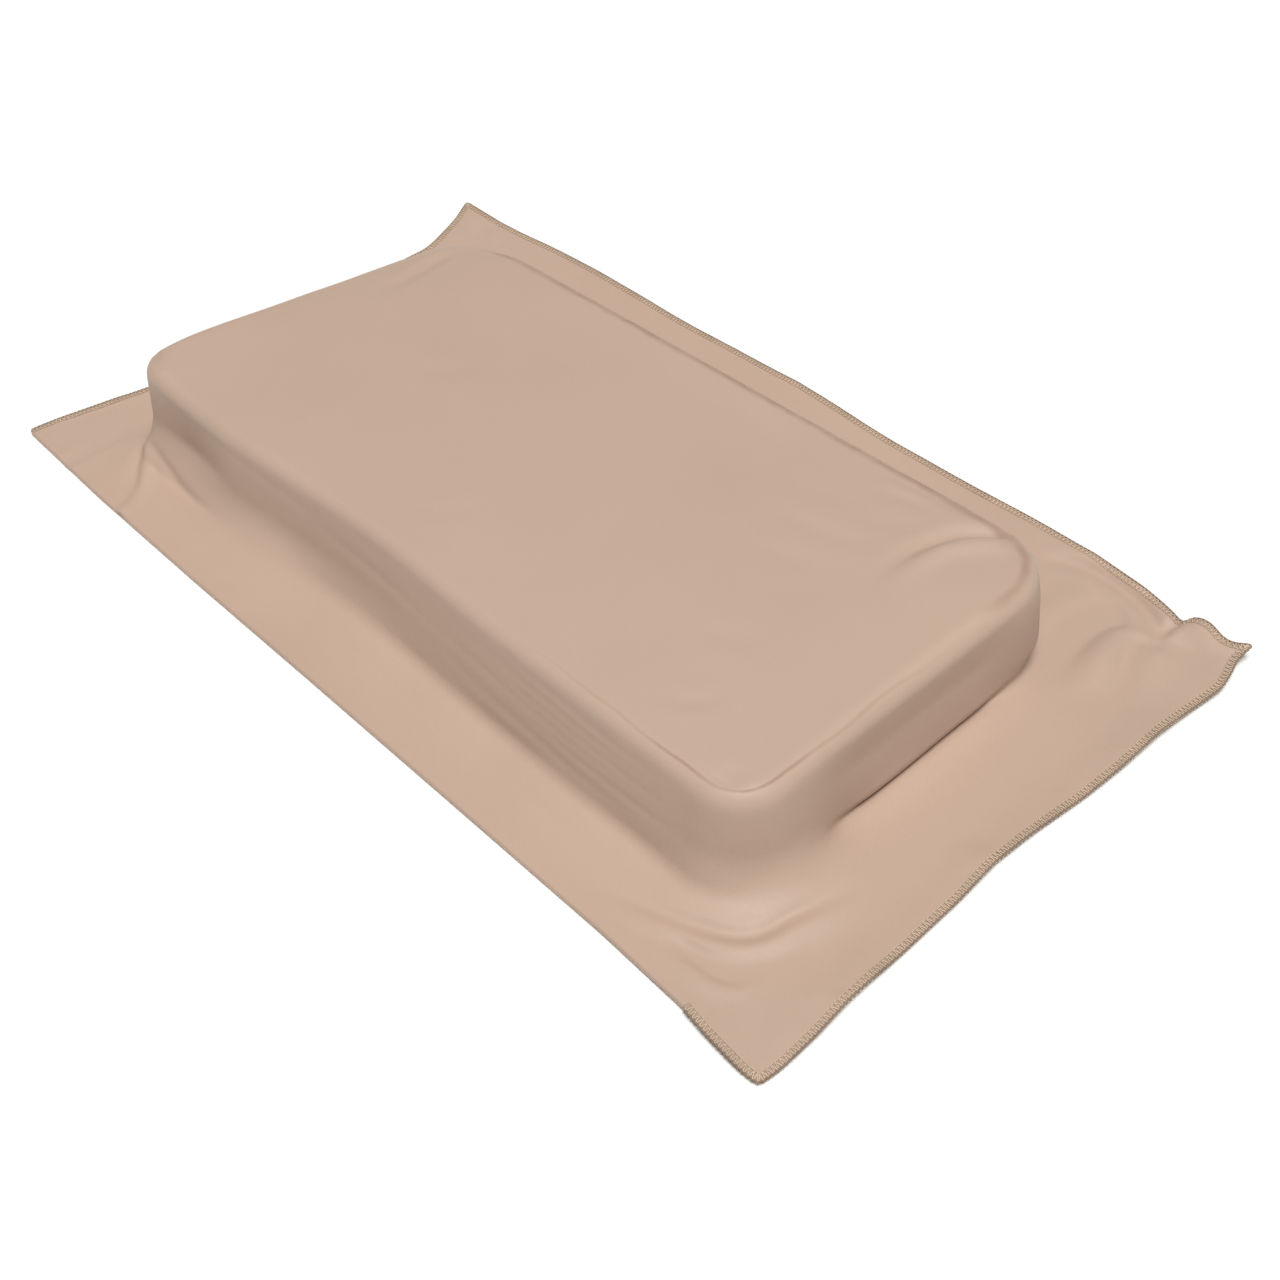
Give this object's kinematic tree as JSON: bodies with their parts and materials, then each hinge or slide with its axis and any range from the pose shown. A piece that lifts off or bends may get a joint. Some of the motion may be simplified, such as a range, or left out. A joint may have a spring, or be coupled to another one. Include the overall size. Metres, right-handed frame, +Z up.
{
  "type": "face cradle cushion",
  "caption": "Rectangular foam face pad in a soft leatherette cover, with a wide flat flange, overlocked edges and a coil zip underneath.",
  "frame": {"origin": "middle of the flat underside that the cushion lies on, at the table surface", "axes": "+X along the cushion's length, towards the closed end of the zip; -Y is the front edge, where the zip is nearest; +Z is up, out of the padded face"},
  "size_m": [0.65, 0.36, 0.06],
  "materials": {
    "cover": "matte",
    "support_foam": "matte",
    "comfort_foam": "matte",
    "thread": "satin",
    "zip_tape": "matte",
    "zip_coil": "satin",
    "zip_metal": "satin"
  },
  "bodies": {
    "cushion": {"support_foam": "support_foam", "comfort_foam": "comfort_foam", "top_sheet": "cover", "underside_front_panel": "cover", "underside_rear_panel": "cover", "overlock_looper_thread": "thread", "overlock_needle_thread": "thread", "zip_tape_front": "zip_tape", "zip_tape_rear": "zip_tape", "zip_coil_front": "zip_coil", "zip_coil_rear": "zip_coil", "zip_top_stops": "zip_metal", "zip_bottom_stop": "zip_metal", "zip_stitching": "thread"},
    "slider": {"zip_slider": "zip_metal"},
    "pull_tab": {"zip_pull_tab": "zip_metal"}
  },
  "joints": [
    {"name": "zip_slide", "type": "slide", "parent": "cushion", "child": "slider", "axis": [-1, 0, 0], "range_m": [0, 0.4095]},
    {"name": "pull_tab_hinge", "type": "hinge", "parent": "slider", "child": "pull_tab", "pos_m": [0.20955, -0.103, 0.0017], "axis": [0, -1, 0], "range_deg": [0, 180]}
  ]
}
